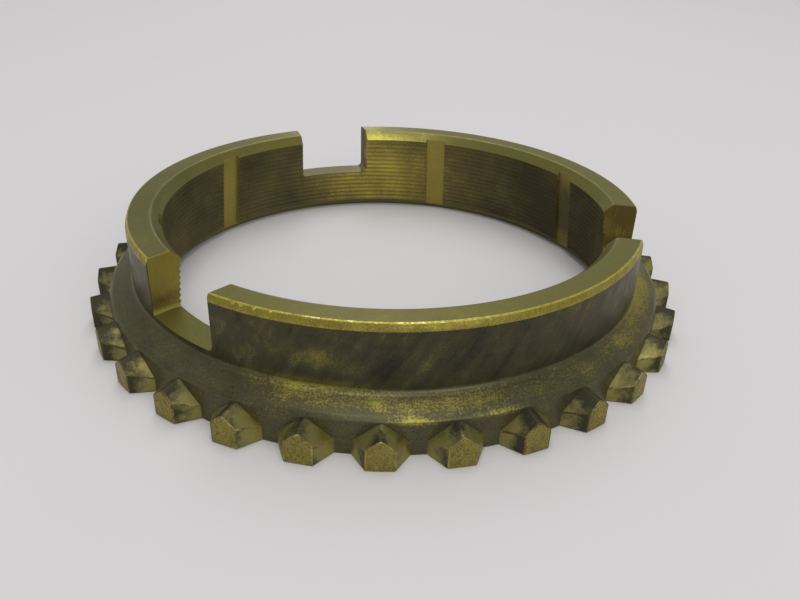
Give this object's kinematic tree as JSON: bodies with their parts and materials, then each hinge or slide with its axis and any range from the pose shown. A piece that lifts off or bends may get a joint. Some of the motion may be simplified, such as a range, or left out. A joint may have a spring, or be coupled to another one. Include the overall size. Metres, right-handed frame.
{
  "type": "synchronizer ring",
  "caption": "Brass synchronizer ring with pointed teeth round a flange, key slots in its wall and a conical friction face inside that brakes a gear's cone during a shift.",
  "frame": {"origin": "centre of the ring on its flat bottom face, the side of the gear", "axes": "+Z along the ring's axis towards the slotted top face, +Y through the first key slot"},
  "size_m": [0.0702, 0.0702, 0.0122],
  "materials": {
    "brass": "turned and milled, tarnished, rubbed bright at the edges"
  },
  "bodies": {
    "root": {"synchronizer_ring": "brass"}
  },
  "joints": []
}
